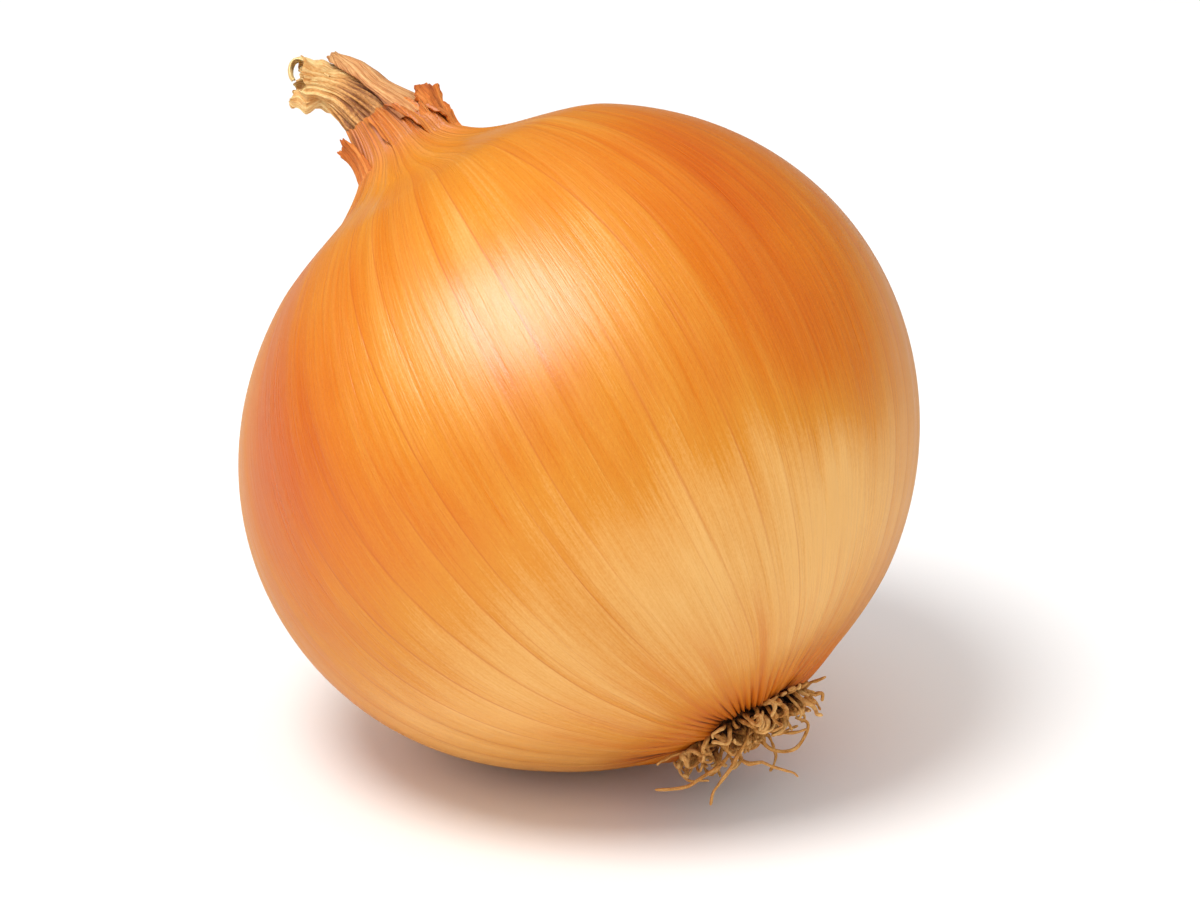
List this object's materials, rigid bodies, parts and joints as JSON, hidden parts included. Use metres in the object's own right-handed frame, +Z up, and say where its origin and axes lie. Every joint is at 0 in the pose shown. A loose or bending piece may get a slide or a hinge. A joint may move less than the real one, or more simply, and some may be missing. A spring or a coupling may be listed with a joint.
{
  "type": "whole yellow onion",
  "caption": "Whole yellow onion lying on its side, with dry papery skin, torn neck leaves and a tuft of dry roots.",
  "frame": {"origin": "centre of the flat spot that the bulb rests on, at the level of the table", "axes": "+Z up; the neck points up, to -X and to +Y; the root end is low down on the +X, -Y side"},
  "size_m": [0.0781, 0.0791, 0.0777],
  "materials": {
    "skin": "dry papery onion skin, silky sheen, fine lengthwise veins",
    "flap": "torn dry skin, matt, darker at its edges",
    "pale_leaf": "pale crumpled dry leaf, matt",
    "dry_leaf": "brown dry leaf with lengthwise fibres, matt",
    "crown": "dry fibrous root plate, rough",
    "root": "dry wiry root, rough"
  },
  "bodies": {
    "root": {"bulb": "skin", "skin_flap_left": "flap", "skin_flap_front": "flap", "skin_layer_right": "flap", "skin_flap_right": "flap", "skin_flap_back_right": "flap", "skin_flap_back": "flap", "neck_leaf_inner": "pale_leaf", "neck_leaf_outer": "dry_leaf", "root_crown": "crown", "root_left_low": "root", "root_left_long": "root", "root_down": "root", "root_front_right": "root", "root_left_loop": "root", "root_right_arc": "root", "root_right_short": "root", "root_right_hook": "root", "root_right_tip": "root", "root_back": "root", "root_back_left": "root"}
  },
  "joints": []
}
